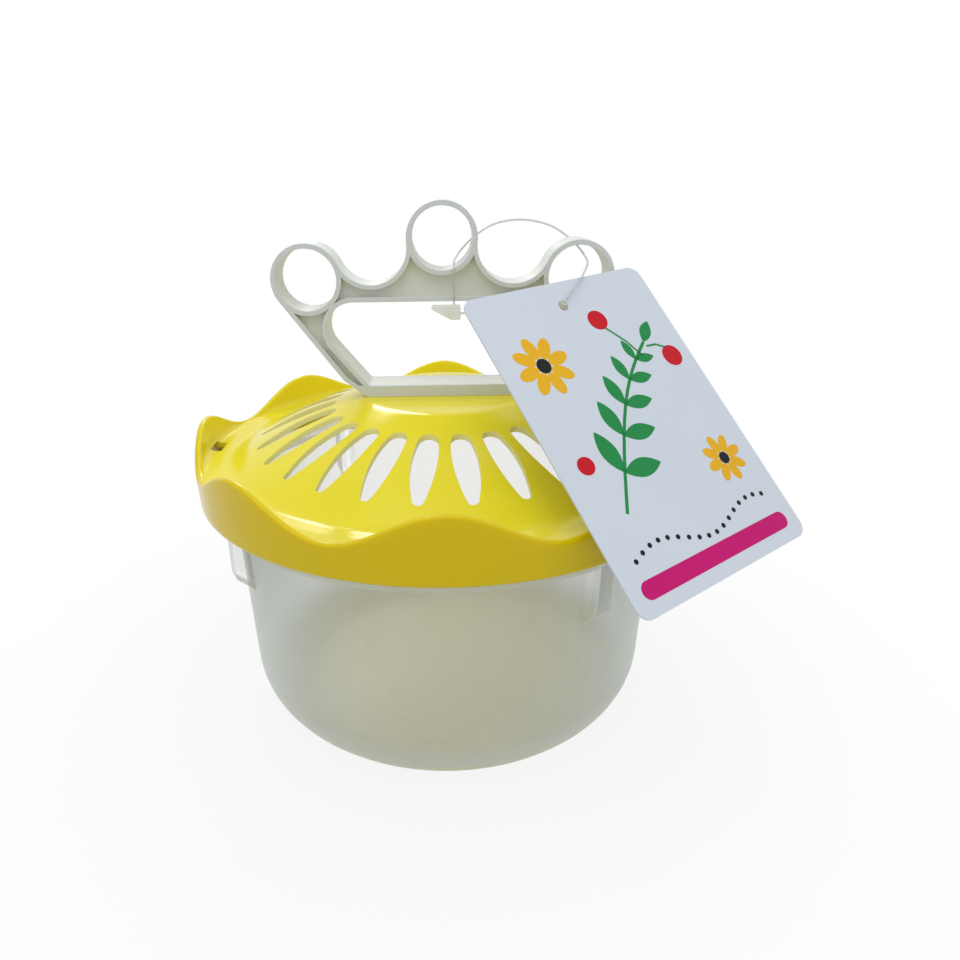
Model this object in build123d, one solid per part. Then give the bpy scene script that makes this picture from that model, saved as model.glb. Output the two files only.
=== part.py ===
"""Insect keeper box: a translucent bowl, a slotted dome lid with a wavy rim, a crown-shaped carrying
handle, and a hang tag on a clear loop. Millimetres, +Z up, origin at the centre of the bowl's underside.
The handle stands in the XZ plane, and the tag leans on the rim at the front right."""

from build123d import *
import math
import os

# Bowl
bowl_wall = 1.3
bowl_top_radius = 65.4         # under the shoulder
bowl_taper = 2.8               # how much narrower the wall's slope would be at the floor
bowl_bottom_curve = 19.6
shoulder_height = 70.2         # underside of the shoulder
shoulder_width = 5.2           # from the wall's top out to the collar
shoulder_bevel = 0.8
collar_height = 11.1           # from the shoulder's underside to the collar's top
bead_depth = 0.4               # stands out of the collar, under which the lid's hooks sit
bead_height = 2.2
bead_slope = 0.5

# Stacking lugs under the shoulder, in two opposite pairs
lug_azimuths = (-54.5, 125.5, -150.5, 29.5)
lug_width = 5.8
lug_inset = 1.1                # outer face inward of the collar
lug_drop = 14.2                # from the shoulder's underside to the end of the outer face
lug_slope = 5.4                # height of the slanted foot
lug_wall = 1.3

# Lid
lid_wall = 1.6
lid_seat_gap = 0.2             # gutter's underside above the collar
rim_gap = 2.6                  # from the collar to the band's inside
rim_flare = 0.3                # how much narrower the band is at its lower edge
rim_wall = 1.7
band_overlap = 7.0             # how far the band reaches down past the collar's top
crest_count = 8
crest_rise = 9.2               # from valley to crest
valley_rise = 0.2              # valley above the gutter
gutter_curve = 2.4
gutter_width = 8.8             # from the dome's foot to the band's inside
dome_foot_curve = 5.0
dome_rise = 17.0               # plateau above the gutter
dome_bulge = 1.9
dome_curve = 90.0
plateau_radius = 24.0
plateau_curve = 7.0
skirt_clearance = 0.9          # between the bowl's mouth and the lid's inner skirt
skirt_wall = 1.2
skirt_depth = 6.0

# Air slots in the dome
slot_count = 26
slot_inner_radius = 33.0
slot_margin = 7.3              # from a slot's outer end to the dome's foot
slot_width = 6.8
slot_widest_radius = 43.5
slot_inner_width = 5.2
slot_outer_width = 3.0
slot_cap = 0.8                 # length of a rounded end over its half width

# Snap hooks inside the band, each with a window in the gutter above it
hook_count = 4
hook_width = 7.0
hook_clearance = 0.3           # hook's tip to the bead
hook_height = 1.6
hook_slope = 1.2
hook_gap = 0.9                 # hook's top under the bead
window_width = 8.0
window_length = 3.9
window_inset = 0.2             # window's outer end to the rim's inside

# Carrying handle
handle_depth = 11.5
handle_rim = 1.3
handle_web = 6.5               # thickness between the hollows of its two faces
base_bar_height = 3.4
base_half_length = 23.0
knee_offset = 6.5              # knee of a leg, outward from the base bar's end
knee_height = 5.0
ring_bore = 8.6                # radius
ring_wall = 1.4
side_ring_offset = 38.5
side_ring_height = 34.1        # ring centres above the plateau
crown_ring_height = 44.9
hollow_height = 32.5           # lowest point of the hollow between two rings
hand_window_half = 22.3        # half width at the bottom
hand_window_height = 24.4
hand_window_lean = 39.3        # sides, in degrees from upright
hand_window_corner = 7.8
hand_window_foot = 1.5

# Barbed tabs under the base bar
tab_offset = 14.0
tab_length = 7.0
tab_thickness = 2.2
tab_clearance = 0.3
barb_depth = 0.8
barb_height = 2.6
barb_gap = 0.15

# Hang tag
tag_width = 62.0
tag_height = 86.1
tag_thickness = 0.4
tag_corner = 3.5
tag_hole_radius = 1.5
tag_hole_offset = -1.5         # from the card's middle line
tag_hole_margin = 7.2          # from its top edge
tag_azimuth = -58.1            # direction that the card faces
tag_lean = 44.3                # how far it faces upward
tag_roll = 5.0
tag_hole_x = 31.1
tag_hole_y = -25.5
tag_clearance = 0.3            # card's back to the rim's crest

# Clear loop and its lock
loop_diameter = 0.6
lock_length = 8.2
lock_height = 4.0
lock_tip_height = 1.0
lock_thickness = 2.6
lock_x = -3.2                  # the tip
lock_y = -6.4
lock_z = 126.9                 # top face
loop_route = (
    (3.2, -6.4, 126.9),
    (3.1, -6.5, 130.2),
    (3.1, -6.9, 133.9),
    (3.2, -7.0, 137.1),
    (3.4, -4.9, 139.5),
    (4.0, 0.8, 139.1),
    (4.9, 6.4, 140.2),
    (8.8, 8.7, 144.0),
    (14.8, 8.4, 148.0),
    (23.0, 7.6, 149.3),
    (31.6, 7.6, 147.6),
    (37.9, 8.0, 143.5),
    (41.2, 5.0, 139.7),
    (41.2, -3.2, 138.1),
    (39.4, -11.8, 137.5),
    (36.4, -18.5, 134.4),
    (32.2, -25.3, 131.5),
    (30.1, -25.5, 127.7),
    (24.9, -21.7, 126.5),
    (17.0, -13.9, 125.3),
    (10.4, -6.5, 124.6),
    (5.0, -6.4, 124.6),
)

# Heights and radii that follow from the sizes above
bowl_base_radius = bowl_top_radius - bowl_taper
collar_radius = bowl_top_radius + shoulder_width
lug_radius = collar_radius - lug_inset
collar_top = shoulder_height + collar_height
gutter_bottom = collar_top + lid_seat_gap
gutter_top = gutter_bottom + lid_wall
plateau_top = gutter_top + dome_rise
plateau_bottom = plateau_top - lid_wall
band_bottom = collar_top - band_overlap
valley_height = gutter_top + valley_rise
crest_height = valley_height + crest_rise
rim_inside = collar_radius + rim_gap
rim_radius = rim_inside + rim_wall
dome_foot_radius = rim_inside - gutter_width
slot_outer_radius = dome_foot_radius - slot_margin
collar_inside = collar_radius - bowl_wall
skirt_radius = collar_inside - skirt_clearance
bead_radius = collar_radius + bead_depth
hook_tip = bead_radius + hook_clearance
hook_top = collar_top - bead_height - hook_gap
base_bar_top = plateau_top + base_bar_height
side_ring_z = plateau_top + side_ring_height
crown_ring_z = plateau_top + crown_ring_height
ring_outside = ring_bore + ring_wall


def wave_height(angle):
    """Height of the rim's top edge at an angle in radians."""
    middle = (valley_height + crest_height) / 2
    return middle + crest_rise / 2 * math.cos(crest_count * angle)


def outline(*points, radius):
    """Closed outline in the XZ plane, with one corner radius for each point (0 keeps it sharp)."""
    return make_face(Plane.XZ * FilletPolyline(*points, radius=radius, close=True))


def at(azimuth, shape):
    """The shape, modelled along +X, turned to an azimuth in degrees."""
    return Rot(0, 0, azimuth) * shape


def bowl_side(height, inset):
    """Radius of the bowl's tapering wall at a height, measured an inset inward of its outer face."""
    slope = (bowl_top_radius - bowl_base_radius) / shoulder_height
    return bowl_base_radius + slope * height - inset * math.hypot(1, slope)


def bowl_hollow(inset, top):
    """Section of the round bowl below a height, drawn an inset inward of its outer surface."""
    points = ((0, inset), (bowl_side(inset, inset), inset), (bowl_side(top, inset), top), (0, top))
    return outline(*points, radius=(0, bowl_bottom_curve - inset, 0, 0))


def collar_ring():
    """Section of the shoulder and the collar, from the wall's inside to the bead."""
    inner = bowl_side(shoulder_height, bowl_wall)
    bead_low = collar_top - bead_height
    points = (
        (inner, shoulder_height),
        (collar_radius - shoulder_bevel, shoulder_height),
        (collar_radius, shoulder_height + shoulder_bevel),
        (collar_radius, bead_low - bead_slope),
        (bead_radius, bead_low),
        (bead_radius, collar_top),
        (collar_inside, collar_top),
        (collar_inside, shoulder_height + bowl_wall),
        (inner, shoulder_height + bowl_wall),
    )
    return make_face(Plane.XZ * Polyline(*points, close=True))


def lug(inset, top):
    """One stacking lug along +X; its hollow is the same shape drawn an inset inward."""
    foot = shoulder_height - lug_drop - lug_slope
    outer = lug_radius - inset
    root = bowl_side(foot, bowl_wall / 2 + inset)
    low = foot + inset * 1.6
    points = ((root, top), (outer, top), (outer, low + lug_slope), (root, low))
    width = lug_width - 2 * inset
    return extrude(make_face(Plane.XZ * Polyline(*points, close=True)), width / 2, both=True)


def make_bowl():
    body = revolve(bowl_hollow(0, shoulder_height), Axis.Z)
    body += revolve(collar_ring(), Axis.Z)
    for azimuth in lug_azimuths:
        body += at(azimuth, lug(0, shoulder_height))
    body -= revolve(bowl_hollow(bowl_wall, shoulder_height + bowl_wall), Axis.Z)
    for azimuth in lug_azimuths:
        body -= at(azimuth, lug(lug_wall, shoulder_height + bowl_wall))
    return body


def lid_section():
    """Section of the lid: plateau, dome, gutter, skirt and band, the band up to the crests' height."""
    run, fall = dome_foot_radius - plateau_radius, dome_rise
    chord = math.hypot(run, fall)
    middle_radius = (plateau_radius + dome_foot_radius) / 2 + dome_bulge * fall / chord
    middle_rise = dome_rise / 2 + dome_bulge * run / chord
    dome = (
        (plateau_radius, dome_rise, plateau_curve),
        (middle_radius, middle_rise, dome_curve),
        (dome_foot_radius, 0, dome_foot_curve),
    )
    low_radius = rim_radius - rim_flare
    skirt_bottom = gutter_bottom - skirt_depth
    corners = [(0, plateau_top, 0)]
    corners += [(r, gutter_top + rise, curve) for r, rise, curve in dome]
    corners += [
        (rim_inside, gutter_top, gutter_curve),
        (rim_inside, crest_height, 0),
        (rim_radius, crest_height, 0),
        (low_radius, band_bottom, 0),
        (low_radius - rim_wall, band_bottom, 0),
        (rim_inside, gutter_bottom, 0),
        (skirt_radius, gutter_bottom, 0),
        (skirt_radius, skirt_bottom, 0),
        (skirt_radius - skirt_wall, skirt_bottom, 0),
        (skirt_radius - skirt_wall, gutter_bottom, 0),
    ]
    corners += [(r, gutter_bottom + rise, curve) for r, rise, curve in reversed(dome)]
    corners += [(0, plateau_bottom, 0)]
    return outline(*[(r, z) for r, z, _ in corners], radius=[curve for _, _, curve in corners])


def valley_cutter():
    """What is cut away above the wave between two crests, along +X."""
    half = math.pi / crest_count
    steps = 8
    wave = []
    for i in range(-steps, steps + 1):
        angle = half * i / steps
        wave.append((rim_radius * math.sin(angle), wave_height(angle + half)))
    over = crest_height + 2
    edge = Spline(*wave, tangents=((1, 0), (1, 0)))
    sides = Polyline(wave[-1], (wave[-1][0], over), (wave[0][0], over), wave[0])
    start = dome_foot_radius + dome_foot_curve / 2
    face = make_face(Plane.YZ.offset(start) * (edge + sides))
    return extrude(face, rim_radius - start + 3)


def slot_cutter():
    """One leaf-shaped air slot along +X, as an upright prism."""
    half_in = slot_inner_width / 2
    half_out = slot_outer_width / 2
    near = slot_inner_radius + half_in * slot_cap
    far = slot_outer_radius - half_out * slot_cap
    edge = ThreePointArc((near, -half_in), (slot_inner_radius, 0), (near, half_in))
    edge += ThreePointArc((near, half_in), (slot_widest_radius, slot_width / 2), (far, half_out))
    edge += ThreePointArc((far, half_out), (slot_outer_radius, 0), (far, -half_out))
    edge += ThreePointArc((far, -half_out), (slot_widest_radius, -slot_width / 2), (near, -half_in))
    return extrude(Plane.XY.offset(gutter_bottom) * make_face(edge), dome_rise + lid_wall + 1)


def hook():
    """One snap hook along +X, on the band's inside."""
    points = (
        (rim_inside + rim_wall / 2, hook_top),
        (hook_tip, hook_top),
        (hook_tip, hook_top - hook_height + hook_slope / 2),
        (rim_inside + rim_wall / 2, hook_top - hook_height - hook_slope),
    )
    face = make_face(Plane.XZ * Polyline(*points, close=True))
    return extrude(face, hook_width / 2, both=True)


def make_lid():
    body = revolve(lid_section(), Axis.Z)
    for i in range(crest_count):
        body -= at(360 / crest_count * (i + 0.5), valley_cutter())
    for i in range(slot_count):
        body -= at(90 + 360 / slot_count * (i + 0.5), slot_cutter())
    window_x = rim_inside - window_inset - window_length / 2
    window = Pos(window_x, 0, gutter_bottom) * Box(window_length, window_width, 3 * lid_wall)
    for i in range(hook_count):
        azimuth = 360 / hook_count * i
        body += at(azimuth, hook())
        body -= at(azimuth, window)
    for x in (-tab_offset, tab_offset):
        size = (tab_length + 2 * tab_clearance, tab_thickness + 2 * tab_clearance, 3 * lid_wall)
        body -= Pos(x, 0, plateau_top) * Box(*size)
    return body


def hollow_circle():
    """Centre x, centre z and radius of the arc that touches two rings and the hollow's lowest point."""
    low = plateau_top + hollow_height

    def centre_offsets(radius):
        reach = radius + ring_outside
        side = math.sqrt(reach ** 2 - (low + radius - side_ring_z) ** 2)
        crown = math.sqrt(max(reach ** 2 - (low + radius - crown_ring_z) ** 2, 0))
        return side, crown

    small, large = ring_outside / 2, ring_outside * 2
    for _ in range(60):
        radius = (small + large) / 2
        if sum(centre_offsets(radius)) > side_ring_offset:
            large = radius
        else:
            small = radius
    return centre_offsets(radius)[1], low + radius, radius


def tangent_point(x, z, centre_x, centre_z, radius):
    """Where the line from a point touches a circle, on the side away from the middle (x over 0)."""
    dx, dz = centre_x - x, centre_z - z
    distance = math.hypot(dx, dz)
    angle = math.atan2(dz, dx) - math.asin(radius / distance)
    reach = math.sqrt(distance ** 2 - radius ** 2)
    return x + reach * math.cos(angle), z + reach * math.sin(angle)


def both_sides(points):
    """The points, and their mirror images in reverse order."""
    return list(points) + [(-x, z) for x, z in reversed(points)]


def crown_outline():
    """The handle's outline without its openings, as a face in the XZ plane."""
    knee = (base_half_length + knee_offset, plateau_top + knee_height)
    touch = tangent_point(*knee, side_ring_offset, side_ring_z, ring_outside)
    hollow_x, hollow_z, hollow_radius = hollow_circle()
    half = (
        (base_half_length, plateau_top),
        knee,
        touch,
        (side_ring_offset, side_ring_z),
        (hollow_x, hollow_z),
    )
    right = list(half) + [(0, crown_ring_z)]
    left = [(-x, z) for x, z in reversed(half)]
    shape = Polygon(*(right + left), align=None)
    for x, z in ring_centres():
        shape += Pos(x, z) * Circle(ring_outside)
    for x in (-hollow_x, hollow_x):
        shape -= Pos(x, hollow_z) * Circle(hollow_radius)
    return shape


def ring_centres():
    return (
        (-side_ring_offset, side_ring_z),
        (0, crown_ring_z),
        (side_ring_offset, side_ring_z),
    )


def hand_window():
    """The opening for the fingers, between the legs."""
    top = base_bar_top + hand_window_height
    spread = hand_window_half + hand_window_height * math.tan(math.radians(hand_window_lean))
    corners = both_sides(((hand_window_half, base_bar_top), (spread, top)))
    face = Polygon(*corners, align=None)
    for x, z in corners:
        size = hand_window_corner if z == top else hand_window_foot
        face = fillet(face.vertices().sort_by_distance((x, z, 0))[0], size)
    return face


def make_handle():
    openings = hand_window()
    for x, z in ring_centres():
        openings += Pos(x, z) * Circle(ring_bore)
    pocket = offset(crown_outline(), -handle_rim)
    pocket -= offset(hand_window(), handle_rim)
    for x, z in ring_centres():
        pocket -= Pos(x, z) * Circle(ring_outside)
    below = Pos(0, plateau_top) * Rectangle(4 * base_half_length, 2 * base_bar_height)
    pocket -= below
    depth = (handle_depth - handle_web) / 2
    body = extrude(Plane.XZ * (crown_outline() - openings), handle_depth / 2, both=True)
    body -= extrude(Plane.XZ.offset(handle_web / 2) * pocket, depth)
    body -= extrude(Plane.XZ.offset(-handle_web / 2) * pocket, -depth)
    for x in (-tab_offset, tab_offset):
        body += Pos(x, 0, 0) * snap_tab()
    return body


def snap_tab():
    """A tab that passes through the plateau, with a barb on each face."""
    half = tab_thickness / 2
    under = plateau_bottom - barb_gap
    foot = under - barb_height
    side = (
        (half, plateau_top),
        (half, under),
        (half + barb_depth, under),
        (half, foot),
    )
    profile = make_face(Plane.YZ * Polyline(*both_sides(side), close=True))
    return extrude(profile, tab_length / 2, both=True)


def tag_plane():
    """Plane of the card's back face, with its origin at the hole. It clears the rim by tag_clearance."""
    azimuth = math.radians(tag_azimuth)
    lean = math.radians(tag_lean)
    flat = math.cos(lean)
    normal = Vector(flat * math.cos(azimuth), flat * math.sin(azimuth), math.sin(lean))
    across = Vector(-math.sin(azimuth), math.cos(azimuth), 0)
    across = across.rotate(Axis((0, 0, 0), normal), tag_roll)
    reach = 0
    for i in range(720):
        angle = math.radians(i / 2)
        rim = Vector(rim_radius * math.cos(angle), rim_radius * math.sin(angle), wave_height(angle))
        reach = max(reach, normal.dot(rim))
    reach += tag_clearance
    hole_z = (reach - normal.X * tag_hole_x - normal.Y * tag_hole_y) / normal.Z
    return Plane((tag_hole_x, tag_hole_y, hole_z), x_dir=across, z_dir=normal)


def make_tag():
    card_middle = Pos(-tag_hole_offset, tag_hole_margin - tag_height / 2)
    card = card_middle * RectangleRounded(tag_width, tag_height, tag_corner)
    card -= Circle(tag_hole_radius)
    return extrude(tag_plane() * card, tag_thickness)


def make_lock():
    """Wedge-shaped head that holds both ends of the loop."""
    right = lock_x + lock_length
    points = (
        (lock_x, lock_z),
        (right, lock_z),
        (right, lock_z - lock_height),
        (right - lock_length / 3, lock_z - lock_height),
        (lock_x, lock_z - lock_tip_height),
    )
    face = make_face(Plane.XZ.offset(-lock_y) * Polyline(*points, close=True))
    return extrude(face, lock_thickness / 2, both=True)


def make_loop():
    """Tube along the route, whose arcs are as large as its runs allow. Prints its radii."""
    points = [Vector(*p) for p in loop_route]
    radii = []
    for before, corner, after in zip(points, points[1:], points[2:]):
        run_in = corner - before
        run_out = after - corner
        half_turn = math.radians(run_in.get_angle(run_out)) / 2
        radii.append(0.45 * min(run_in.length, run_out.length) / math.tan(half_turn))
    path = FilletPolyline(*points, radius=radii)
    start = Plane(points[0], z_dir=points[1] - points[0])
    tube = sweep(start * Circle(loop_diameter / 2), path)
    section = math.pi * loop_diameter ** 2 / 4
    print("loop radii", [round(r, 1) for r in radii], "length", round(path.length, 1))
    print("loop volume over section times length", round(tube.volume / section / path.length, 4))
    return tube


makers = {
    "bowl": make_bowl,
    "lid": make_lid,
    "carrying_handle": make_handle,
    "hang_tag": make_tag,
    "tag_loop": make_loop,
    "loop_lock": make_lock,
}

os.makedirs("parts", exist_ok=True)
for name, make in makers.items():
    export_step(make(), f"parts/{name}.step")
plane = tag_plane()
print("tag hole", plane.origin, "across", plane.x_dir, "normal", plane.z_dir)
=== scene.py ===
# %% [markdown]
# # An insect keeper box
#
# The object is a round bowl of frosted plastic under a yellow dome lid. The lid has leaf-shaped air slots
# and a rim that rises and falls like a wave. A pale carrying handle, shaped like a crown of three rings,
# stands on the lid, and a printed card hangs from it on a thread of clear nylon.
#
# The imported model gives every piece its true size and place. This script dresses it. Every piece but the
# card is made again, as a smooth mesh or curve in the same place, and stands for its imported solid. The
# card stays, and gets a material and its print.

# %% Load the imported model
import math

import bmesh
import bpy
from mathutils import Matrix, Vector


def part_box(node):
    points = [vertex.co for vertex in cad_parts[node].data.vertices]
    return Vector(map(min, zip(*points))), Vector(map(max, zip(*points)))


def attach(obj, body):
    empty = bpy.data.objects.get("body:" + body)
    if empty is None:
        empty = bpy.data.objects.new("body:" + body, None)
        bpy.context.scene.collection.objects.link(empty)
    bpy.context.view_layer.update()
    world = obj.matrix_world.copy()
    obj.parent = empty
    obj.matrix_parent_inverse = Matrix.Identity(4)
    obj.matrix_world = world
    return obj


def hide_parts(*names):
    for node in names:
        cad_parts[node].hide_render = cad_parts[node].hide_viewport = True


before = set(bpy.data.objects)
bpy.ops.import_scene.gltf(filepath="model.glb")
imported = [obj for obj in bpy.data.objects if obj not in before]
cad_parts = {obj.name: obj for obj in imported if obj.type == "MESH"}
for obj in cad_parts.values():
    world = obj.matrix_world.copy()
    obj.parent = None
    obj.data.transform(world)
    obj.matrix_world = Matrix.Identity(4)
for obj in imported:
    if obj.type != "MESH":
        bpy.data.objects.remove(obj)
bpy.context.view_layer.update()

mm = 0.001
print("packed pieces:", sorted(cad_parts))

# %% [markdown]
# ## The camera
#
# The picture was taken from close by: the far rim looks much smaller than the near one. So the camera is
# only 24 cm from the box, with a wide lens. It is rolled a little, and its frame is shifted, because the
# box stands left of the middle of the picture. A Track To constraint could aim it, but would leave out the
# roll, so its three directions are worked out and put into its matrix.

# %% Camera
camera_target = Vector((0, 0, 70.74 * mm))
camera_distance = 240.1 * mm
camera_elevation = math.radians(21.99)
camera_roll = math.radians(-0.82)
image_width = 960
focal_pixels = 749.85
optical_centre_x = 445.29

camera_data = bpy.data.cameras.new("camera")
camera_data.sensor_width = 36
camera_data.lens = focal_pixels / image_width * camera_data.sensor_width
camera_data.shift_x = (image_width / 2 - optical_centre_x) / image_width
camera_data.clip_start = 0.01
camera = bpy.data.objects.new("camera", camera_data)
bpy.context.scene.collection.objects.link(camera)
bpy.context.scene.camera = camera

back = Vector((0, -math.cos(camera_elevation), math.sin(camera_elevation)))
level = Vector((1, 0, 0))
upright = back.cross(level)
right = math.cos(camera_roll) * level + math.sin(camera_roll) * upright
up = math.cos(camera_roll) * upright - math.sin(camera_roll) * level
turn = Matrix((right, up, back)).transposed().to_4x4()
camera.matrix_world = Matrix.Translation(camera_target + camera_distance * back) @ turn
print("lens", round(camera_data.lens, 2), "mm, shift", round(camera_data.shift_x, 4))

# %% [markdown]
# ## Backdrop and floor
#
# A product picture on white has a floor without an edge. A very bright floor and sky would give that, but
# they would also flood the object with light. So both are white only to rays from the camera, to mirrored
# rays and to rays through glass, which the Light Path node tells apart. All other rays find a plain sky
# and a grey floor. Near the box, the white floor lets a little of the grey one through, and with it the
# shadow.

# %% World
def looked_at(tree):
    """A socket that is 1 for rays from the camera, mirrored rays and rays through glass, and else 0."""
    path = tree.nodes.new("ShaderNodeLightPath")
    share = path.outputs["Is Camera Ray"]
    for kind in ("Is Glossy Ray", "Is Transmission Ray"):
        either = tree.nodes.new("ShaderNodeMath")
        either.operation = "MAXIMUM"
        tree.links.new(share, either.inputs[0])
        tree.links.new(path.outputs[kind], either.inputs[1])
        share = either.outputs[0]
    return share


bpy.context.scene.view_settings.view_transform = "Standard"
world = bpy.data.worlds.new("studio")
bpy.context.scene.world = world
world.use_nodes = True
nodes = world.node_tree.nodes
links = world.node_tree.links
nodes.clear()
ambient = nodes.new("ShaderNodeBackground")
ambient.inputs["Color"].default_value = (0.93, 0.96, 1.0, 1)
ambient.inputs["Strength"].default_value = 0.7
white_sky = nodes.new("ShaderNodeBackground")
white_sky.inputs["Color"].default_value = (1, 1, 1, 1)
sky = nodes.new("ShaderNodeMixShader")
world_out = nodes.new("ShaderNodeOutputWorld")
links.new(looked_at(world.node_tree), sky.inputs[0])
links.new(ambient.outputs[0], sky.inputs[1])
links.new(white_sky.outputs[0], sky.inputs[2])
links.new(sky.outputs[0], world_out.inputs[0])
print("world nodes:", len(nodes))

# %% [markdown]
# A finished piece has its place in its mesh, and its object sits at the origin, so that patterns made from
# Object coordinates stay where they are. A new primitive has its place in its object instead. Apply
# Transform moves it over, and for that the piece has to be the only one selected.

# %% Put a place into the mesh
def pick(piece):
    """Select one piece alone and make it the active one."""
    bpy.ops.object.select_all(action="DESELECT")
    piece.select_set(True)
    bpy.context.view_layer.objects.active = piece


def settle(piece):
    """Put the object's place and turn into its mesh, so that the object sits at the origin."""
    pick(piece)
    bpy.ops.object.transform_apply(location=True, rotation=True, scale=True)


# %% Floor
floor_size = 6.0
floor_drop = 0.05 * mm             # keeps it off the bowl's underside
whitest_share = 1.0
share_near_box = 0.88
near_box = 60 * mm
shadow_end = 190 * mm

bpy.ops.object.select_all(action="DESELECT")
bpy.ops.mesh.primitive_plane_add(size=floor_size, location=(0, 0, -floor_drop))
floor = bpy.context.active_object
floor.name = "floor"
settle(floor)
pale_floor = bpy.data.materials.new("pale_floor")
pale_floor.use_nodes = True
nodes = pale_floor.node_tree.nodes
links = pale_floor.node_tree.links
nodes.clear()
grey = nodes.new("ShaderNodeBsdfDiffuse")
grey.inputs["Color"].default_value = (0.62, 0.62, 0.62, 1)
glow = nodes.new("ShaderNodeEmission")
glow.inputs["Color"].default_value = (1, 1, 1, 1)
place = nodes.new("ShaderNodeTexCoord")
distance = nodes.new("ShaderNodeVectorMath")
distance.operation = "LENGTH"
whiteness = nodes.new("ShaderNodeMapRange")
whiteness.interpolation_type = "SMOOTHSTEP"
whiteness.inputs["From Min"].default_value = near_box
whiteness.inputs["From Max"].default_value = shadow_end
whiteness.inputs["To Min"].default_value = share_near_box
whiteness.inputs["To Max"].default_value = whitest_share
glow_share = nodes.new("ShaderNodeMath")
glow_share.operation = "MULTIPLY"
surface = nodes.new("ShaderNodeMixShader")
floor_out = nodes.new("ShaderNodeOutputMaterial")
links.new(place.outputs["Object"], distance.inputs[0])
links.new(distance.outputs["Value"], whiteness.inputs["Value"])
links.new(looked_at(pale_floor.node_tree), glow_share.inputs[0])
links.new(whiteness.outputs["Result"], glow_share.inputs[1])
links.new(glow_share.outputs[0], surface.inputs[0])
links.new(grey.outputs[0], surface.inputs[1])
links.new(glow.outputs[0], surface.inputs[2])
links.new(surface.outputs[0], floor_out.inputs[0])
floor.data.materials.append(pale_floor)
print("floor:", floor_size, "m wide")

# %% [markdown]
# ## The lamps
#
# Large lamps give soft shadows and broad highlights: one above, which does most of the work, one in front
# and one to the right. A small one stands behind the box. It is mirrored at the foot of the dome as small
# bright glints. All are weak, so that a colour renders about as it is written and nothing clips to white.

# %% Lamps
def softbox(name, place, size, power):
    """A square lamp that faces the middle of the box."""
    middle = Vector((0, 0, 80 * mm))
    data = bpy.data.lights.new(name, "AREA")
    data.size = size
    data.energy = power
    lamp = bpy.data.objects.new(name, data)
    bpy.context.scene.collection.objects.link(lamp)
    lamp.location = place
    lamp.rotation_euler = (middle - Vector(place)).to_track_quat("-Z", "Y").to_euler()
    print(name, power, "W")


softbox("lamp_above", (-0.1, -0.25, 0.8), 0.7, 2.1)
softbox("lamp_front", (0.0, -0.85, 0.3), 0.5, 0.2)
softbox("lamp_right", (0.7, -0.35, 0.5), 0.5, 0.2)
softbox("lamp_behind", (-0.12, 0.5, 0.45), 0.15, 0.8)

# %% [markdown]
# ## Moulded plastic
#
# All the moulded pieces share one recipe: a Principled shader whose colour and roughness drift slowly
# over the surface, as they do where plastic flowed into its mould. One flat colour would look like paint on
# a screen. Glossy plastic also has a very fine bump, which keeps its highlights from being perfectly sharp.
# On rough plastic that can't be seen, so it is left at 0 there.

# %% A recipe for moulded plastic
def plastic(
    name, colour, deeper, roughness,
    specular=0.5, bump=0.0, soft=0.0, soft_radius=(1, 1, 1), alpha=1.0,
):
    """A Principled material whose colour drifts between two tones. soft_radius is in millimetres."""
    drift_scale = 28
    grain_scale = 900
    material = bpy.data.materials.new(name)
    material.use_nodes = True
    tree = material.node_tree
    shader = tree.nodes["Principled BSDF"]
    place = tree.nodes.new("ShaderNodeTexCoord")
    place.name = "place"
    drift = tree.nodes.new("ShaderNodeTexNoise")
    drift.inputs["Scale"].default_value = drift_scale
    drift.inputs["Detail"].default_value = 3
    tree.links.new(place.outputs["Object"], drift.inputs["Vector"])
    tint = tree.nodes.new("ShaderNodeMix")
    tint.data_type = "RGBA"
    tint.inputs["A"].default_value = (*deeper, 1)
    tint.inputs["B"].default_value = (*colour, 1)
    tree.links.new(drift.outputs["Fac"], tint.inputs["Factor"])
    tree.links.new(tint.outputs["Result"], shader.inputs["Base Color"])
    gloss = tree.nodes.new("ShaderNodeMapRange")
    gloss.inputs["To Min"].default_value = roughness * 0.8
    gloss.inputs["To Max"].default_value = roughness * 1.25
    tree.links.new(drift.outputs["Fac"], gloss.inputs["Value"])
    tree.links.new(gloss.outputs["Result"], shader.inputs["Roughness"])
    grain = tree.nodes.new("ShaderNodeTexNoise")
    grain.inputs["Scale"].default_value = grain_scale
    tree.links.new(place.outputs["Object"], grain.inputs["Vector"])
    relief = tree.nodes.new("ShaderNodeBump")
    relief.inputs["Strength"].default_value = bump
    relief.inputs["Distance"].default_value = 0.2 * mm
    tree.links.new(grain.outputs["Fac"], relief.inputs["Height"])
    tree.links.new(relief.outputs["Normal"], shader.inputs["Normal"])
    shader.inputs["Specular IOR Level"].default_value = specular
    shader.inputs["Subsurface Weight"].default_value = soft
    shader.inputs["Subsurface Radius"].default_value = soft_radius
    shader.inputs["Subsurface Scale"].default_value = mm
    shader.inputs["Alpha"].default_value = alpha
    return material


def dress(piece, material):
    """Give a piece one material all over."""
    piece.data.materials.clear()
    piece.data.materials.append(material)
    print(piece.name, "is dressed in", material.name)


# %% [markdown]
# ## The thread
#
# A loop of clear nylon ties the card to the handle. It leaves its lock under the handle's upper bar, goes
# up through the crown ring, in an arc behind the handle, forward through the right ring and down to the
# hole in the card, and comes back behind the card. A chain of thin tubes would show a kink at every joint.
# A NURBS curve with a round bevel bends smoothly, and the route's points are its control points. The
# curve's order is set after its points, because set before, it stays at straight runs.

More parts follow.
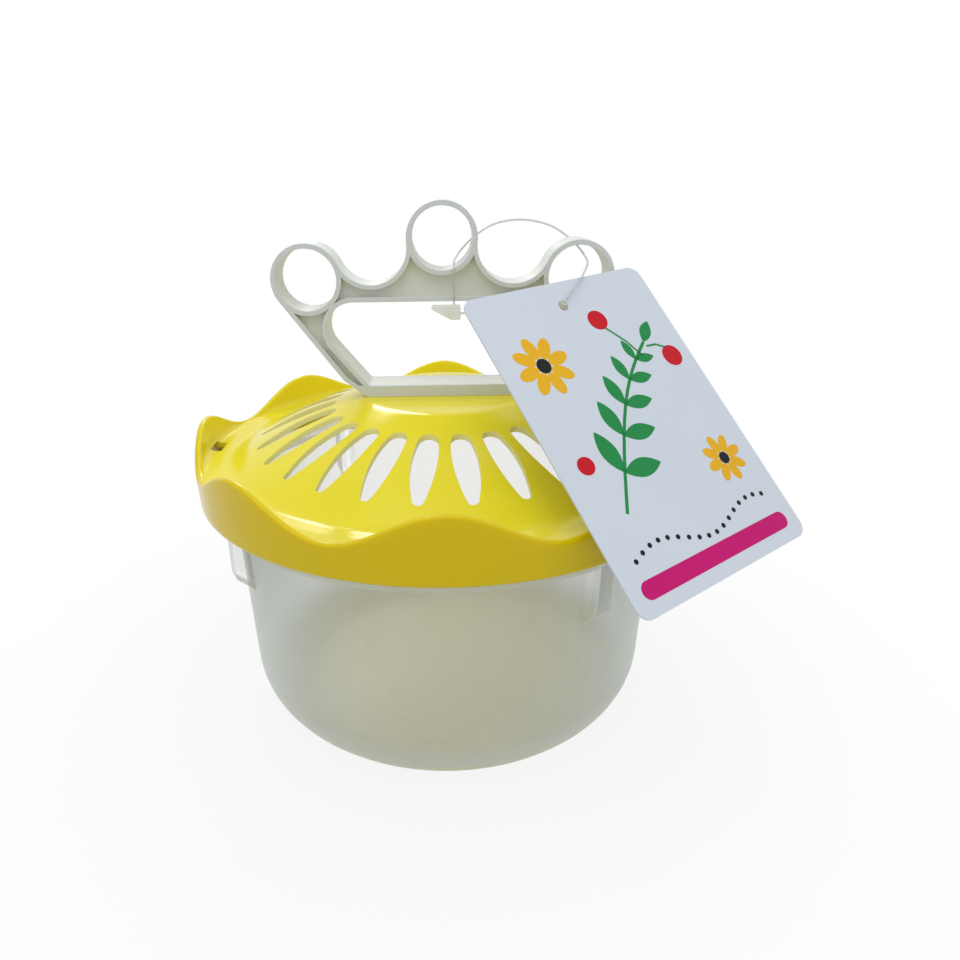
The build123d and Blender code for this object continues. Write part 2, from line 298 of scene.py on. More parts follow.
# %% The clear thread
loop_route = (
    (3.2, -6.4, 126.9),
    (3.1, -6.5, 130.2),
    (3.1, -6.9, 133.9),
    (3.2, -7.0, 137.1),
    (3.4, -4.9, 139.5),
    (4.0, 0.8, 139.1),
    (4.9, 6.4, 140.2),
    (8.8, 8.7, 144.0),
    (14.8, 8.4, 148.0),
    (23.0, 7.6, 149.3),
    (31.6, 7.6, 147.6),
    (37.9, 8.0, 143.5),
    (41.2, 5.0, 139.7),
    (41.2, -3.2, 138.1),
    (39.4, -11.8, 137.5),
    (36.4, -18.5, 134.4),
    (32.2, -25.3, 131.5),
    (30.1, -25.5, 127.7),
    (24.9, -21.7, 126.5),
    (17.0, -13.9, 125.3),
    (10.4, -6.5, 124.6),
    (5.0, -6.4, 124.6),
)
loop_diameter = 0.6 * mm
clear_thread = plastic("clear_thread", (0.62, 0.63, 0.60), (0.56, 0.57, 0.54), 0.2, alpha=0.5)

loop_curve = bpy.data.curves.new("nylon_loop", "CURVE")
loop_curve.dimensions = "3D"
loop_curve.bevel_depth = loop_diameter / 2
loop_curve.bevel_resolution = 4
loop_curve.resolution_u = 12
spline = loop_curve.splines.new("NURBS")
spline.points.add(len(loop_route) - 1)
for point, (x, y, z) in zip(spline.points, loop_route):
    point.co = (x * mm, y * mm, z * mm, 1)
spline.order_u = 3
spline.use_endpoint_u = True
nylon_loop = bpy.data.objects.new("nylon_loop", loop_curve)
bpy.context.scene.collection.objects.link(nylon_loop)
dress(nylon_loop, clear_thread)
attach(nylon_loop, "lid")
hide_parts("tag_loop")

# %% [markdown]
# ## Yellow plastic
#
# The lid's plastic is glossy, and lets a little light in below its surface, which subsurface scattering
# gives. Its band is painted a deeper yellow than its dome, which is painted light and shade: the dome's
# paler tone stands for light through its thin wall and a painted reflection of the white sky, and the
# band's deeper tone for painted shade on its upright faces. The band's tone is laid over the first beyond
# a radius, which the material reads from the piece's own coordinates.
# The thin edges of the air slots glow with the light that they let through, so they get a paler material.

# %% Zones of a moulding
def zone(material, measure, start, end):
    """A socket that goes from 0 to 1 between two radii, two heights or two depths from the middle plane."""
    tree = material.node_tree
    split = tree.nodes.new("ShaderNodeSeparateXYZ")
    tree.links.new(tree.nodes["place"].outputs["Object"], split.inputs[0])
    measured = split.outputs["Z"]
    if measure == "depth":
        flipped = tree.nodes.new("ShaderNodeMath")
        flipped.operation = "ABSOLUTE"
        tree.links.new(split.outputs["Y"], flipped.inputs[0])
        measured = flipped.outputs[0]
    if measure == "radius":
        flat = tree.nodes.new("ShaderNodeCombineXYZ")
        tree.links.new(split.outputs["X"], flat.inputs["X"])
        tree.links.new(split.outputs["Y"], flat.inputs["Y"])
        reach = tree.nodes.new("ShaderNodeVectorMath")
        reach.operation = "LENGTH"
        tree.links.new(flat.outputs[0], reach.inputs[0])
        measured = reach.outputs["Value"]
    share = tree.nodes.new("ShaderNodeMapRange")
    share.interpolation_type = "SMOOTHSTEP"
    share.inputs["From Min"].default_value = start
    share.inputs["From Max"].default_value = end
    tree.links.new(measured, share.inputs["Value"])
    return share.outputs["Result"]


def lay_over(material, share, colour):
    """Lay a second colour over the base colour, as far as share says."""
    tree = material.node_tree
    shader = tree.nodes["Principled BSDF"]
    layer = tree.nodes.new("ShaderNodeMix")
    layer.data_type = "RGBA"
    tree.links.new(share, layer.inputs["Factor"])
    tree.links.new(shader.inputs["Base Color"].links[0].from_socket, layer.inputs["A"])
    layer.inputs["B"].default_value = (*colour, 1)
    tree.links.new(layer.outputs["Result"], shader.inputs["Base Color"])


# %% Yellow plastic
# the band's deeper yellow beyond this radius is painted shade, and the dome's paler yellow is painted light
band_shade_zone = (73.4 * mm, 74.3 * mm)
yellow_plastic = plastic(
    "yellow_plastic", (0.86, 0.74, 0.032), (0.80, 0.675, 0.02), 0.14,
    specular=0.2, bump=0.02, soft=0.2, soft_radius=(3.0, 2.6, 0.6),
)
lay_over(yellow_plastic, zone(yellow_plastic, "radius", *band_shade_zone), (0.72, 0.53, 0.0))
slot_edge = plastic(
    "slot_edge", (0.92, 0.86, 0.36), (0.88, 0.82, 0.30), 0.25,
    specular=0.2, bump=0.02, soft=0.2,
)
print("lid materials:", yellow_plastic.name, slot_edge.name)

# %% [markdown]
# ## The lid
#
# The lid is one moulding: a flat top, a dome with leaf-shaped air slots, a gutter, and a band whose top
# edge waves. A spun outline with the slots cut out by a Boolean would be the quick way, but its ragged
# faces round each slot shade badly on a glossy dome. So the mesh is made as a row of rings, from the middle
# of the top out to the rim, down the band and back underneath. Where rings pass the slots, they are bent to
# the slots' outline, and the faces inside a slot are never made. Apart from the flat middle of the top, all
# faces are then even and four-sided.

# %% Sizes of the lid
lid_low, lid_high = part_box("lid")
rim_radius = lid_high.x
plateau_top = lid_high.z
band_bottom = lid_low.z
lid_wall = 1.6 * mm
rim_wall = 1.7 * mm
rim_flare = 0.3 * mm
rim_inside = rim_radius - rim_wall
plateau_radius = 24.0 * mm
plateau_curve = 7.0 * mm
dome_rise = 17.0 * mm
dome_bulge = 1.9 * mm
dome_curve = 90.0 * mm
dome_foot_radius = 64.4 * mm
dome_foot_curve = 5.0 * mm
gutter_top = plateau_top - dome_rise
gutter_bottom = gutter_top - lid_wall
gutter_curve = 2.4 * mm
crest_count = 8
crest_rise = 9.2 * mm
valley_height = gutter_top + 0.2 * mm
crest_height = valley_height + crest_rise
skirt_outside = 68.4 * mm
skirt_inside = skirt_outside - 1.2 * mm
skirt_bottom = gutter_bottom - 6.0 * mm
print("lid radius in mm:", round(rim_radius / mm, 2), "gutter height:", round(gutter_top / mm, 2))


# %% The dome's outline
def rounded(corners, steps):
    """A line through (radius, height) corners. A third number at a corner is the radius that rounds it."""
    line = [Vector(corners[0])]
    for before, corner, after in zip(corners, corners[1:], corners[2:]):
        bend = corner[2]
        corner = Vector(corner[:2])
        way_in = (Vector(before[:2]) - corner).normalized()
        way_out = (Vector(after[:2]) - corner).normalized()
        half = way_in.angle(way_out) / 2
        centre = corner + (way_in + way_out).normalized() * bend / math.sin(half)
        start = corner + way_in * bend / math.tan(half) - centre
        end = corner + way_out * bend / math.tan(half) - centre
        for i in range(steps + 1):
            line.append(centre + start.slerp(end, i / steps).normalized() * bend)
    line.append(Vector(corners[-1]))
    return line


def height_on(line, radius):
    """Height of a line of (radius, height) points at one radius."""
    for near, far in zip(line, line[1:]):
        if near.x <= radius <= far.x and far.x > near.x:
            return near.y + (far.y - near.y) * (radius - near.x) / (far.x - near.x)
    return line[-1].y


dome_width = dome_foot_radius - plateau_radius
chord = math.hypot(dome_width, dome_rise)
dome_line = rounded(
    (
        (0, plateau_top),
        (plateau_radius, plateau_top, plateau_curve),
        (
            (plateau_radius + dome_foot_radius) / 2 + dome_bulge * dome_rise / chord,
            gutter_top + dome_rise / 2 + dome_bulge * dome_width / chord,
            dome_curve,
        ),
        (dome_foot_radius, gutter_top, dome_foot_curve),
        (rim_radius, gutter_top),
    ),
    steps=24,
)
print("points on the dome's outline:", len(dome_line))

# %% Outline of an air slot
slot_count = 26
slot_inner = 33.0 * mm
slot_outer = 57.1 * mm
slot_inner_half = 2.6 * mm
slot_outer_half = 1.5 * mm
slot_widest_half = 3.4 * mm
slot_widest_radius = 43.5 * mm
slot_cap = 0.8                     # length of a rounded end over its half width
near = slot_inner + slot_inner_half * slot_cap
far = slot_outer - slot_outer_half * slot_cap


def circle_through(a, b, c):
    """Centre and radius of the circle through three points."""
    bx, by = b[0] - a[0], b[1] - a[1]
    cx, cy = c[0] - a[0], c[1] - a[1]
    b_squared = bx * bx + by * by
    c_squared = cx * cx + cy * cy
    double = 2 * (bx * cy - by * cx)
    x = (cy * b_squared - by * c_squared) / double
    y = (bx * c_squared - cx * b_squared) / double
    return a[0] + x, a[1] + y, math.hypot(x, y)


side_x, side_y, side_radius = circle_through(
    (near, slot_inner_half), (slot_widest_radius, slot_widest_half), (far, slot_outer_half),
)


def slot_half(x):
    """Half width of a slot at a distance from the axis, on the arc of its side."""
    return side_y + math.sqrt(side_radius ** 2 - (x - side_x) ** 2)


print("a slot's side is an arc of", round(side_radius / mm, 1), "mm")

# %% Rings of the dome, bent round the slots
slot_columns = 6
rib_columns = 4
slot_rows = 12
half_slot = slot_columns // 2
columns = slot_columns + rib_columns
pitch = 2 * math.pi / slot_count


def ring(radius, edge_angle):
    """A round ring: (radius, angle) for the columns of one slot, whose side is at edge_angle, and one rib."""
    angles = [edge_angle * k / half_slot for k in range(-half_slot, half_slot + 1)]
    rib = pitch - 2 * edge_angle
    angles += [edge_angle + rib * k / rib_columns for k in range(1, rib_columns)]
    return [(radius, angle) for angle in angles]


def slot_row(x, half_width, cap_tip=None):
    """A row of the slotted part. With cap_tip, its slot columns follow the slot's rounded end."""
    row = ring(math.hypot(x, half_width), math.atan2(half_width, x))
    if cap_tip is None:
        row[1:slot_columns] = [None] * (slot_columns - 1)
        return row
    bow = cap_tip - x
    cap_radius = (half_width ** 2 + bow ** 2) / (2 * abs(bow))
    cap_centre = cap_tip - math.copysign(cap_radius, bow)
    for k in range(1, slot_columns):
        y = half_width * math.sin(math.pi / 2 * (k / half_slot - 1))
        cap_x = cap_centre + math.copysign(math.sqrt(cap_radius ** 2 - y * y), bow)
        row[k] = (math.hypot(cap_x, y), math.atan2(y, cap_x))
    return row


near_edge = math.atan2(slot_inner_half, near)
far_edge = math.atan2(slot_outer_half, far)
even_edge = pitch * half_slot / columns
radii_inside_slots = (20, 22.2, 23.2, 24.2, 25.2, 26.6, 28.2, 29.8, 31.4)     # in millimetres
radii_beyond_slots = (58.4, 59.6, 60.8, 62.0, 63.0, 64.2, 65.6, 66.9)
evenness_beyond_slots = (0.2, 0.42, 0.64, 0.84, 1, 1, 1, 1)

dome_rows = [ring(radius * mm, near_edge) for radius in radii_inside_slots]
first_slot_row = len(dome_rows)
dome_rows.append(slot_row(near, slot_inner_half, cap_tip=slot_inner))
for i in range(1, slot_rows):
    x = near + (far - near) * i / slot_rows
    dome_rows.append(slot_row(x, slot_half(x)))
last_slot_row = len(dome_rows)
dome_rows.append(slot_row(far, slot_outer_half, cap_tip=slot_outer))
for radius, evenness in zip(radii_beyond_slots, evenness_beyond_slots):
    dome_rows.append(ring(radius * mm, far_edge + (even_edge - far_edge) * evenness))
print("rings of the dome:", len(dome_rows))

# %% [markdown]
# Outside the dome, the lid's section changes all the way round, because its rim waves. So the section is
# worked out afresh at every angle, always with the same number of points, and the mesh joins each section
# to the next. Every edge has a small arc of its own, as a moulded edge does.

# %% Section of the gutter, the waving rim, the band and the skirt
gutter_start = rim_inside - 4.0 * mm
gutter_under = rim_inside - 2.4 * mm
gutter_corner = 0.5 * mm
inner_brim = 0.6 * mm
outer_brim = 0.8 * mm
bottom_edge = 0.6 * mm
inside_edge = 0.4 * mm
skirt_edge = 0.3 * mm


def arc(centre_radius, centre_height, size, first, steps):
    """A quarter circle of (radius, height) points about a centre, clockwise from a direction in degrees."""
    points = []
    for i in range(steps + 1):
        a = math.radians(first - 90 * i / steps)
        points.append((centre_radius + size * math.cos(a), centre_height + size * math.sin(a)))
    return points


def rim_section(angle):
    """Section of the lid outside the dome at one angle: (radius, height) points, out, round and back."""
    top = (valley_height + crest_height) / 2 + crest_rise / 2 * math.cos(crest_count * angle)
    rise = top - gutter_top
    low_radius = rim_radius - rim_flare
    foot = min(gutter_curve, 0.7 * rise)
    brim = min(inner_brim, 0.25 * rise)
    points = [(gutter_start, gutter_top)]
    points += arc(rim_inside - foot, gutter_top + foot, foot, 0, 4)[::-1]
    for share in (0.35, 0.7):
        points.append((rim_inside, gutter_top + foot + (rise - brim - foot) * share))
    points += arc(rim_inside + brim, top - brim, brim, 180, 3)
    points += arc(rim_radius - outer_brim, top - outer_brim, outer_brim, 90, 4)
    band_height = top - outer_brim - (band_bottom + bottom_edge)
    for eighth in range(1, 8):
        share = eighth / 8
        points.append((rim_radius - rim_flare * share, top - outer_brim - band_height * share))
    points += arc(low_radius - bottom_edge, band_bottom + bottom_edge, bottom_edge, 0, 3)
    points += arc(low_radius - rim_wall + inside_edge, band_bottom + inside_edge, inside_edge, -90, 3)
    for share in (0.5, 0.93):
        points.append((
            rim_inside - rim_flare * (1 - share),
            band_bottom + (gutter_bottom - band_bottom) * share,
        ))
    points += arc(rim_inside - gutter_corner, gutter_bottom - gutter_corner, gutter_corner, 90, 3)[::-1]
    points.append((gutter_under, gutter_bottom))
    points.append((skirt_outside + skirt_edge, gutter_bottom))
    points.append((skirt_outside, gutter_bottom - skirt_edge))
    points += arc(skirt_outside - skirt_edge, skirt_bottom + skirt_edge, skirt_edge, 0, 3)
    points += arc(skirt_inside + skirt_edge, skirt_bottom + skirt_edge, skirt_edge, -90, 3)
    points.append((skirt_inside, gutter_bottom - skirt_edge))
    return points


print("points of the rim's section:", len(rim_section(0)))


# %% Build the lid
def build_lid():
    """The lid as one closed mesh, ring by ring."""
    shape = bmesh.new()
    total = slot_count * columns
    start = math.pi / 2 + pitch / 2

    def all_round(row):
        """A row's (radius, angle) spots, repeated for every slot. Spots inside a slot are None."""
        spots = []
        for i in range(slot_count):
            for spot in row:
                spots.append(None if spot is None else (spot[0], start + i * pitch + spot[1]))
        return spots

    def dome_ring(spots, drop):
        """Points on the dome's outline, or a wall's thickness below it."""
        made = []
        for spot in spots:
            if spot is None:
                made.append(None)
                continue
            radius, angle = spot
            height = height_on(dome_line, radius) - drop
            made.append(shape.verts.new((radius * math.cos(angle), radius * math.sin(angle), height)))
        return made

    def skin(upper, lower, open_slots=False):
        """Faces between two rings. In the slotted part the slots' own columns are left open."""
        for c in range(total):
            if open_slots and c % columns < slot_columns:
                continue
            d = (c + 1) % total
            shape.faces.new((upper[c], upper[d], lower[d], lower[c]))

    rows = [all_round(row) for row in dome_rows]
    tops = [dome_ring(row, 0) for row in rows]
    unders = [dome_ring(row, lid_wall) for row in rows]
    for i in range(len(rows) - 1):
        open_here = first_slot_row <= i < last_slot_row
        skin(tops[i + 1], tops[i], open_here)
        skin(unders[i], unders[i + 1], open_here)
    shape.faces.new(tops[0])
    shape.faces.new(list(reversed(unders[0])))

    for i in range(slot_count):
        base = i * columns
        edge = [(first_slot_row, base + k) for k in range(slot_columns + 1)]
        edge += [(row, base + slot_columns) for row in range(first_slot_row + 1, last_slot_row + 1)]
        edge += [(last_slot_row, base + k) for k in range(slot_columns - 1, -1, -1)]
        edge += [(row, base) for row in range(last_slot_row - 1, first_slot_row, -1)]
        for (row_a, a), (row_b, b) in zip(edge, edge[1:] + edge[:1]):
            wall = shape.faces.new((tops[row_a][a], tops[row_b][b], unders[row_b][b], unders[row_a][a]))
            wall.material_index = 1

    angles = [spot[1] for spot in rows[-1]]
    sections = [rim_section(angle) for angle in angles]
    rim_rings = []
    for k in range(len(sections[0])):
        made = []
        for angle, section in zip(angles, sections):
            radius, height = section[k]
            made.append(shape.verts.new((radius * math.cos(angle), radius * math.sin(angle), height)))
        rim_rings.append(made)
    outward = [tops[-1], *rim_rings, unders[-1]]
    for upper, lower in zip(outward, outward[1:]):
        skin(lower, upper)
    bmesh.ops.recalc_face_normals(shape, faces=shape.faces)
    mesh = bpy.data.meshes.new("dome_lid")
    shape.to_mesh(mesh)
    shape.free()
    mesh.materials.append(yellow_plastic)
    mesh.materials.append(slot_edge)
    piece = bpy.data.objects.new("dome_lid", mesh)
    bpy.context.scene.collection.objects.link(piece)
    return piece


dome_lid = build_lid()
print("lid faces:", len(dome_lid.data.polygons))

# %% [markdown]
# The slots' edges are still as sharp as a knife's, and nothing moulded is. Rounding them point by point
# would be long work. The Bevel modifier finds every edge that bends by more than 40 degrees and puts a
# narrow round band there, which then catches the light.

# %% Round the slots' edges
def apply_modifiers(piece):
    pick(piece)
    for modifier in list(piece.modifiers):
        bpy.ops.object.modifier_apply(modifier=modifier.name)


def smooth(piece, degrees):
    """Shade smoothly over every edge that bends less than this."""
    pick(piece)
    bpy.ops.object.shade_smooth_by_angle(angle=math.radians(degrees))


def soften_edges(piece, width, segments=3):
    """Round the sharp edges. Hardened normals keep the flat faces beside them flat."""
    sharp_from = 40
    smooth(piece, sharp_from)
    edges = piece.modifiers.new("soft_edges", "BEVEL")
    edges.width = width
    edges.segments = segments
    edges.limit_method = "ANGLE"
    edges.angle_limit = math.radians(sharp_from)
    edges.harden_normals = True
    apply_modifiers(piece)
    print(piece.name, "faces:", len(piece.data.polygons))


soften_edges(dome_lid, 0.3 * mm, segments=2)

# %% [markdown]
# The lid snaps on with four small hooks inside the band. The mould can only be pulled off them through a
# window in the gutter above each hook, so each hook has its window. The flat top has two more openings,
# for the handle's tabs. All of these are square and small, so here the Boolean modifier is the short way:
# it joins the hooks on, and takes a block away at each opening.

# %% Blocks and Booleans
def block(name, low, high, azimuth=0.0):
    """A block between two corners, turned about the upright axis."""
    size = [b - a for a, b in zip(low, high)]
    centre = [(a + b) / 2 for a, b in zip(low, high)]
    bpy.ops.object.select_all(action="DESELECT")
    bpy.ops.mesh.primitive_cube_add(size=1, location=centre)
    made = bpy.context.active_object
    made.name = name
    made.scale = size
    settle(made)
    made.rotation_euler = (0, 0, azimuth)
    settle(made)
    return made


def join(parts):
    """Make one piece of several."""
    bpy.ops.object.select_all(action="DESELECT")
    for part in parts:
        part.select_set(True)
    bpy.context.view_layer.objects.active = parts[0]
    bpy.ops.object.join()
    return bpy.context.active_object


def boolean(piece, tool, operation):
    """Join or cut with another piece. Its faces keep their own material."""
    change = piece.modifiers.new("change", "BOOLEAN")
    change.material_mode = "TRANSFER"
    change.operation = operation
    change.solver = "EXACT"
    change.object = tool
    apply_modifiers(piece)
    bpy.data.objects.remove(tool)
    print(piece.name, "faces:", len(piece.data.polygons))


# %% Windows, tab openings and hooks
hook_count = 4
hook_half = 3.5 * mm
hook_tip = 71.3 * mm
hook_top = 78.2 * mm
hook_bottom = hook_top - 2.2 * mm
window_half = 4.0 * mm
window_outer = rim_inside - 0.2 * mm
window_inner = window_outer - 3.9 * mm
window_low = gutter_bottom - 0.8 * mm
window_high = gutter_top + 0.6 * mm
tab_offset = 14.0 * mm
tab_half_length = 3.8 * mm
tab_half_width = 1.4 * mm

cutters = []
hooks = []
for i in range(hook_count):
    azimuth = 2 * math.pi * i / hook_count
    window_corners = (window_inner, -window_half, window_low), (window_outer, window_half, window_high)
    cutters.append(block("window", *window_corners, azimuth))
    hook_corners = (hook_tip, -hook_half, hook_bottom), (rim_inside + rim_wall / 2, hook_half, hook_top)
    hooks.append(block("hook", *hook_corners, azimuth))
for x in (-tab_offset, tab_offset):
    cutters.append(block(
        "tab_opening", (x - tab_half_length, -tab_half_width, plateau_top - 2 * lid_wall),
        (x + tab_half_length, tab_half_width, plateau_top + lid_wall),
    ))
boolean(dome_lid, join(hooks), "UNION")
boolean(dome_lid, join(cutters), "DIFFERENCE")
smooth(dome_lid, degrees=38)
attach(dome_lid, "lid")
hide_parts("lid")

# %% [markdown]
# ## Frosted plastic
#
# The bowl's wall is thin and milky. Rough glass, or scattering inside the wall, could give that, but both
# are slow to render and blur what is behind. The wall only has to hide some of it, so its alpha does the
# work. Layer Weight's Facing makes it denser where it is seen edge-on, because the way through it is longer
# there. The floor and the collar hide more. The floor is painted a warm tint, painted light that stands for
# the yellow light from the lid, and the collar is painted paler, painted light that lifts it where the lid's
# band shades it. The lugs are thinner and hide less. The wall's inner side is nearly clear and mirrors
# nothing, so that each wall counts once.

# %% Frosted plastic
def frosted(name, face_on, edge_on):
    """Milky plastic. How much it hides depends on how it is seen, and on where it is on the bowl."""
    lid_glow_zone = (14 * mm, 1 * mm)
    floor_zone = (20 * mm, 4 * mm)
    collar_zone = (69.9 * mm, 70.9 * mm)
    floor_hides = 0.78
    collar_hides = 0.55
    material = plastic(name, (0.67, 0.72, 0.66), (0.63, 0.68, 0.61), 0.32, specular=0.4)
    # painted light: a warm tint on the bowl's floor for the yellow light from the lid
    lay_over(material, zone(material, "height", *lid_glow_zone), (0.66, 0.57, 0.15))
    # painted light: a paler collar, which lifts it where the lid's band shades it
    lay_over(material, zone(material, "height", *collar_zone), (0.90, 0.91, 0.77))
    tree = material.node_tree
    slant = tree.nodes.new("ShaderNodeLayerWeight")
    wall = tree.nodes.new("ShaderNodeMapRange")
    wall.interpolation_type = "SMOOTHSTEP"
    wall.inputs["To Min"].default_value = face_on
    wall.inputs["To Max"].default_value = edge_on
    tree.links.new(slant.outputs["Facing"], wall.inputs["Value"])
    hidden = wall.outputs["Result"]
    for limits, amount in ((floor_zone, floor_hides), (collar_zone, collar_hides)):
        step = tree.nodes.new("ShaderNodeMapRange")
        tree.links.new(zone(material, "height", *limits), step.inputs["Value"])
        tree.links.new(hidden, step.inputs["To Min"])
        step.inputs["To Max"].default_value = amount
        hidden = step.outputs["Result"]
    tree.links.new(hidden, tree.nodes["Principled BSDF"].inputs["Alpha"])
    return material


frosted_plastic = frosted("frosted_plastic", face_on=0.17, edge_on=0.9)
frosted_lug = frosted("frosted_lug", face_on=0.10, edge_on=0.64)
frosted_inside = plastic(
    "frosted_inside", (0.70, 0.74, 0.66), (0.66, 0.70, 0.60), 0.3, specular=0.0, alpha=0.06,
)
frosted_inside.node_tree.nodes["Principled BSDF"].inputs["IOR"].default_value = 1.0
print("bowl materials:", frosted_plastic.name, frosted_lug.name, frosted_inside.name)

# %% [markdown]
# ## The bowl
#
# The bowl is round, so it is turned as on a lathe: a line drawn from the axis, under the floor, up the
# wall, round the shoulder and the collar, is spun round the axis. The Screw modifier could do the same, but
# Spin works in edit mode, where doubled points on the axis and at the seam can be merged at once. The inside
# is a second spun shape, which is taken out of the first.

# %% Sizes of the bowl
bowl_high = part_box("bowl")[1]
bowl_wall = 1.3 * mm
bowl_base_radius = 62.6 * mm
bowl_top_radius = 65.4 * mm
bottom_curve = 19.6 * mm
shoulder_height = 70.2 * mm
shoulder_top = shoulder_height + bowl_wall
collar_top = bowl_high.z
bead_radius = bowl_high.x
bead_bottom = collar_top - 2.2 * mm
collar_radius = bead_radius - 0.4 * mm
collar_inside = collar_radius - bowl_wall
lean = (bowl_top_radius - bowl_base_radius) / shoulder_height
inset = bowl_wall * math.hypot(1, lean)
inner_base_radius = bowl_base_radius - inset + lean * bowl_wall
inner_top_radius = bowl_top_radius - inset + lean * bowl_wall
print("bowl height in mm:", round(collar_top / mm, 2), "lean of the wall:", round(lean, 4))


# %% Build the bowl
def spun(name, outline):
    """Spin an open outline of (radius, height) points, which starts and ends on the axis."""
    mesh = bpy.data.meshes.new(name)
    points = [(p[0], 0, p[1]) for p in outline]
    mesh.from_pydata(points, [(i, i + 1) for i in range(len(points) - 1)], [])
    piece = bpy.data.objects.new(name, mesh)
    bpy.context.scene.collection.objects.link(piece)
    pick(piece)
    bpy.ops.object.mode_set(mode="EDIT")
    bpy.ops.mesh.select_all(action="SELECT")
    bpy.ops.mesh.spin(steps=192, angle=2 * math.pi, center=(0, 0, 0), axis=(0, 0, 1))
    bpy.ops.mesh.select_all(action="SELECT")
    bpy.ops.mesh.remove_doubles(threshold=0.001 * mm)
    bpy.ops.mesh.select_all(action="SELECT")
    bpy.ops.mesh.normals_make_consistent(inside=False)
    bpy.ops.object.mode_set(mode="OBJECT")
    print(name, "faces:", len(mesh.polygons))
    return piece


bowl = spun("frosted_bowl", rounded(
    (
        (0, 0),
        (bowl_base_radius, 0, bottom_curve),
        (bowl_top_radius, shoulder_height, 0.3 * mm),
        (collar_radius, shoulder_height, 1.0 * mm),
        (collar_radius, bead_bottom - 0.5 * mm, 0.2 * mm),
        (bead_radius, bead_bottom, 0.2 * mm),
        (bead_radius, collar_top, 0.4 * mm),
        (0, collar_top),
    ),
    steps=10,
))
mouth = collar_top + 2 * mm
hollow = spun("hollow", rounded(
    (
        (0, bowl_wall),
        (inner_base_radius, bowl_wall, bottom_curve - bowl_wall),
        (inner_top_radius, shoulder_top, 0.5 * mm),
        (collar_inside, shoulder_top, 0.3 * mm),
        (collar_inside, mouth, 0.01 * mm),
        (0, mouth),
    ),
    steps=10,
))

# %% [markdown]
# Four lugs stand under the shoulder, on which bowls rest when they are stacked. They are hollow, so each is
# added to the outside before the inside is taken out, and a smaller one is added to the inside.

# %% Lugs under the shoulder
lug_azimuths = (-54.5, 125.5, -150.5, 29.5)
lug_width = 5.8 * mm
lug_radius = 69.5 * mm
lug_foot = 50.6 * mm
lug_slope = 5.4 * mm
lug_wall = 1.3 * mm
lug_floor = 1.6                    # its slanted floor over its wall
lug_sink = 0.4 * mm                # how far it reaches into the shoulder


def lug(name, azimuth, wall, top):
    """A lug, or with a wall its hollow: a block under the shoulder whose outer low edge is slanted off."""
    root = (bowl_base_radius + lean * lug_foot) - bowl_wall / 2 - wall
    half = lug_width / 2 - wall
    low = lug_foot + wall * lug_floor
    made = block(name, (root, -half, low), (lug_radius - wall, half, top))
    for corner in made.data.vertices:
        if corner.co.z < low + lug_slope / 2 and corner.co.x > (root + lug_radius) / 2:
            corner.co.z = low + lug_slope
    made.rotation_euler = (0, 0, math.radians(azimuth))
    settle(made)
    return made


outer_lugs = []
for azimuth in lug_azimuths:
    made = lug("lug", azimuth, 0, shoulder_height + lug_sink)
    rounding = made.modifiers.new("rounding", "BEVEL")
    rounding.width = 0.5 * mm
    rounding.segments = 3
    apply_modifiers(made)
    dress(made, frosted_lug)
    outer_lugs.append(made)
dress(bowl, frosted_plastic)
boolean(bowl, join(outer_lugs), "UNION")
lug_hollows = [lug("lug_hollow", azimuth, lug_wall, shoulder_top) for azimuth in lug_azimuths]
boolean(hollow, join(lug_hollows), "UNION")
dress(hollow, frosted_inside)
boolean(bowl, hollow, "DIFFERENCE")
smooth(bowl, degrees=32)
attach(bowl, "bowl")
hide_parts("bowl")

# %% [markdown]
# ## Handle and lock
#
# The handle is a pale, matt moulding: thick rims round a thinner web. The web is painted lighter and a
# little creamier than the rims. That is painted light: it stands for the light that shines through the thin
# web and lifts the shade in its recess. The lock is a small clear wedge that holds both ends of the thread.
# Both are flat outlines with some thickness, and could be drawn again as curves. But their imported solids
# already have the right outline, so a copy of each is cleaned: its loose triangles are merged, and its flat
# areas become single faces. Then the Bevel modifier can round every sharp edge, which is what catches the
# light on moulded parts.

# %% White and clear plastic
web_glow_zone = (4.6 * mm, 3.4 * mm)
white_plastic = plastic("white_plastic", (0.66, 0.69, 0.685), (0.62, 0.65, 0.64), 0.38, specular=0.3)
# painted light: the recessed web is painted lighter, for light through the thin web that lifts its shade
lay_over(white_plastic, zone(white_plastic, "depth", *web_glow_zone), (0.72, 0.73, 0.64))
clear_plastic = plastic("clear_plastic", (0.80, 0.82, 0.76), (0.76, 0.78, 0.70), 0.25, alpha=0.55)
print("handle and lock materials:", white_plastic.name, clear_plastic.name)


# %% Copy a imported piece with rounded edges
def softened(node, name, width):
    """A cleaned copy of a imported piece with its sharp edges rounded."""
    flat_within = math.radians(0.4)
    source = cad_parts[node]
    copy = source.copy()
    copy.data = source.data.copy()
    copy.name = name
    copy.parent = None
    for label in list(copy.keys()):
        del copy[label]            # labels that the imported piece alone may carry
    bpy.context.scene.collection.objects.link(copy)
    pick(copy)
    bpy.ops.object.mode_set(mode="EDIT")
    bpy.ops.mesh.select_all(action="SELECT")
    bpy.ops.mesh.remove_doubles(threshold=0.002 * mm)
    bpy.ops.mesh.select_all(action="SELECT")
    bpy.ops.mesh.dissolve_limited(angle_limit=flat_within)
    bpy.ops.object.mode_set(mode="OBJECT")
    bpy.ops.mesh.customdata_custom_splitnormals_clear()
    soften_edges(copy, width)
    return copy


crown_handle = softened("carrying_handle", "crown_handle", 0.28 * mm)
dress(crown_handle, white_plastic)
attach(crown_handle, "lid")
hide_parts("carrying_handle")

lock = softened("loop_lock", "wedge_lock", 0.35 * mm)
dress(lock, clear_plastic)
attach(lock, "lid")
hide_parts("loop_lock")

